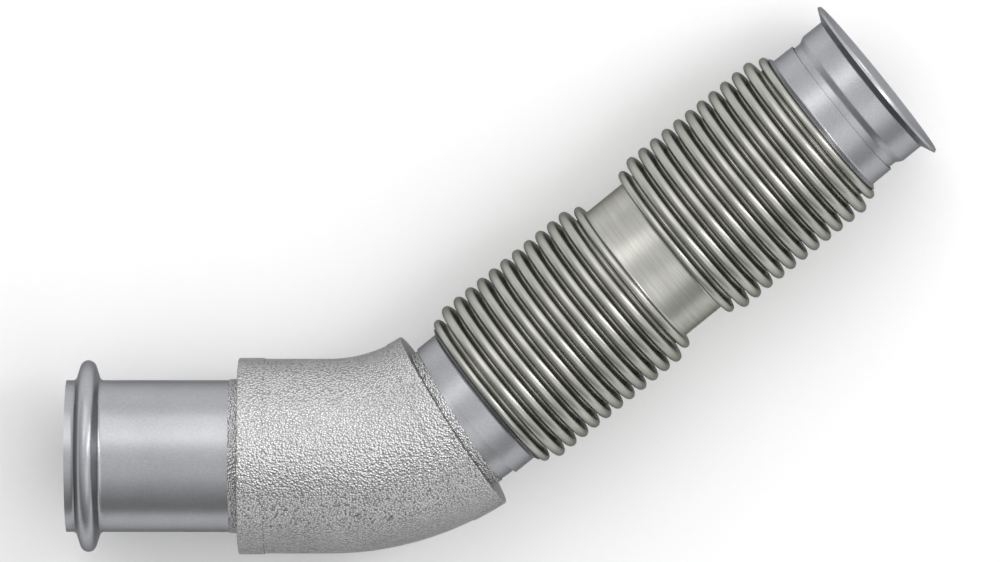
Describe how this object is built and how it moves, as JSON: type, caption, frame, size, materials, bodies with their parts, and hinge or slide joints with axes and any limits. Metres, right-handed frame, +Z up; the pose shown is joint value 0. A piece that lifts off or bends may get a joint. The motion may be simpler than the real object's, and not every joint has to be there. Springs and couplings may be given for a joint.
{
  "type": "exhaust flex pipe",
  "caption": "Bent exhaust pipe with a foil-covered insulated elbow, a corrugated bellows section held by flared cuffs and a conical clamp flange at the outlet.",
  "frame": {"origin": "centre of the inlet mouth, on the axis of the straight inlet tube", "axes": "+X along the inlet tube into the pipe, the elbow bends toward +Y in the XY plane, +Z up as the pipe lies on its side"},
  "size_m": [0.5816, 0.367, 0.1316],
  "materials": {
    "tube_steel": "satin",
    "bellows_steel": "glossy",
    "embossed_foil": "hammered, glossy",
    "liner_steel": "satin",
    "fibre": "matte fibre mat"
  },
  "bodies": {
    "root": {"elbow_pipe": "tube_steel", "insulation_upper": "fibre", "insulation_lower": "fibre", "shell_upper": "embossed_foil", "shell_lower": "embossed_foil", "end_cap_inlet": "embossed_foil", "end_cap_outlet": "embossed_foil", "cuff_inlet": "tube_steel", "bellows": "bellows_steel", "liner": "liner_steel", "cuff_outlet": "tube_steel", "outlet_adapter": "tube_steel"}
  },
  "joints": []
}
